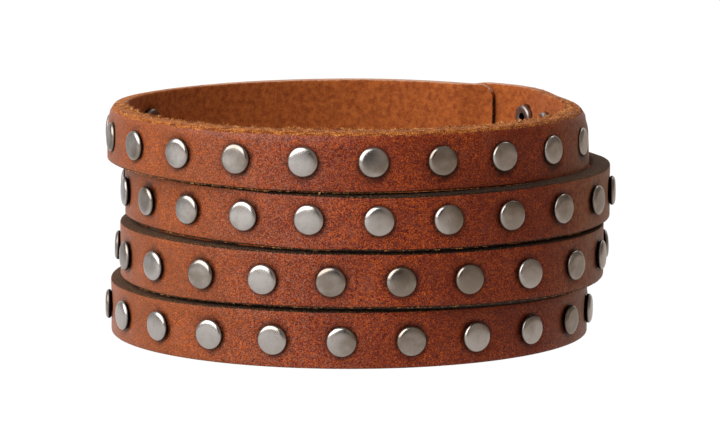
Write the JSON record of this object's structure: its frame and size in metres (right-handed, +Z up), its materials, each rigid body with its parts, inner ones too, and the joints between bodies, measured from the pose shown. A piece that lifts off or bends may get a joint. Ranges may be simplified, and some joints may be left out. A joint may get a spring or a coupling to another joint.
{
  "type": "studded leather cuff bracelet",
  "caption": "Wide leather cuff bracelet, cut by slits into parallel studded strips and snapped closed at the back over a flap.",
  "frame": {"origin": "middle of the cuff's box, at the surface it stands on", "axes": "+Z up along the wrist's axis, -Y towards the studded front, +Y towards the snapped back, +X to the right of the front"},
  "size_m": [0.0717, 0.0637, 0.032],
  "materials": {
    "leather": "oiled cognac grain outside, raw suede inside and on the top edge",
    "stud_metal": "satin, aged gunmetal",
    "snap_metal": "satin, aged gunmetal"
  },
  "bodies": {
    "root": {"leather_cuff": "leather", "studs_top_row": "stud_metal", "studs_second_row": "stud_metal", "studs_third_row": "stud_metal", "studs_bottom_row": "stud_metal", "snap_upper": "snap_metal", "snap_lower": "snap_metal"}
  },
  "joints": []
}
